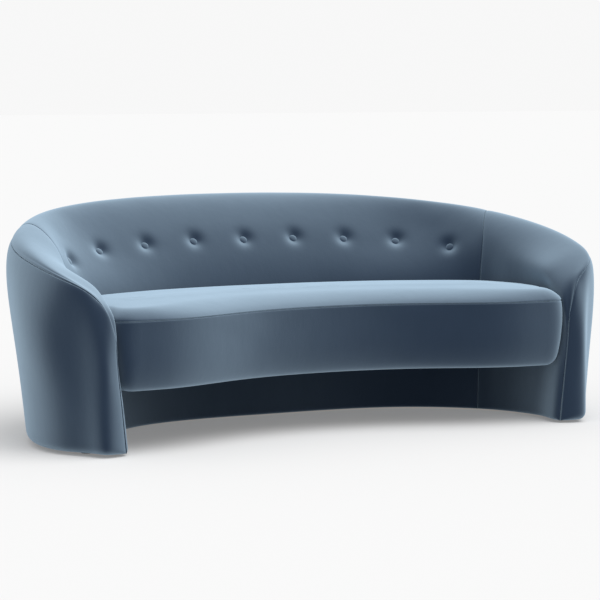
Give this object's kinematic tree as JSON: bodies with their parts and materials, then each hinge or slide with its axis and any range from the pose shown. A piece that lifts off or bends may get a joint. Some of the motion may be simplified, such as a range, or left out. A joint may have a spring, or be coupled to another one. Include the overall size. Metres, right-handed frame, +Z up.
{
  "type": "sofa",
  "caption": "Curved velvet sofa: a padded C-shaped shell down to the floor, a floating kidney-shaped seat between its arms and a row of covered buttons along the back.",
  "frame": {"origin": "on the floor under the middle of the plan", "axes": "+X along the length, to the right seen from the front; +Y to the back; +Z up; the open front faces -Y"},
  "size_m": [2.0072, 1.012, 0.7306],
  "materials": {
    "velvet": "blue-grey cut-pile velvet, lighter at grazing angles",
    "plywood": "raw birch plywood",
    "beech": "planed beech",
    "webbing": "woven jute webbing",
    "cambric": "black woven cambric",
    "zinc_steel": "zinc plated",
    "glide_plastic": "moulded black"
  },
  "bodies": {
    "root": {"inner_back_pad": "velvet", "inner_arm_pad_left": "velvet", "inner_arm_pad_right": "velvet", "outer_back_panel": "velvet", "outer_arm_panel_left": "velvet", "outer_arm_panel_right": "velvet", "seat_cushion": "velvet", "button_1": "velvet", "button_2": "velvet", "button_3": "velvet", "button_4": "velvet", "button_5": "velvet", "button_6": "velvet", "button_7": "velvet", "button_8": "velvet", "button_9": "velvet", "base_board_left": "plywood", "base_board_back": "plywood", "base_board_right": "plywood", "seat_ledger": "plywood", "top_rail": "plywood", "rib_1": "plywood", "rib_2": "plywood", "rib_3": "plywood", "rib_4": "plywood", "rib_5": "plywood", "rib_6": "plywood", "rib_7": "plywood", "rib_8": "plywood", "rib_9": "plywood", "seat_rail_rear": "beech", "seat_rail_front": "beech", "seat_rail_left": "beech", "seat_rail_right": "beech", "seat_cross_rail_1": "beech", "seat_cross_rail_2": "beech", "seat_cross_rail_3": "beech", "mounting_block_1": "beech", "mounting_block_2": "beech", "mounting_block_3": "beech", "mounting_block_4": "beech", "seat_webbing_1": "webbing", "seat_webbing_2": "webbing", "seat_webbing_3": "webbing", "seat_webbing_4": "webbing", "seat_webbing_5": "webbing", "seat_dust_cover": "cambric", "seat_bolt_1": "zinc_steel", "seat_bolt_2": "zinc_steel", "seat_bolt_3": "zinc_steel", "seat_bolt_4": "zinc_steel", "glide_1": "glide_plastic", "glide_2": "glide_plastic", "glide_3": "glide_plastic", "glide_4": "glide_plastic", "glide_5": "glide_plastic", "glide_6": "glide_plastic", "glide_7": "glide_plastic", "glide_8": "glide_plastic"}
  },
  "joints": []
}
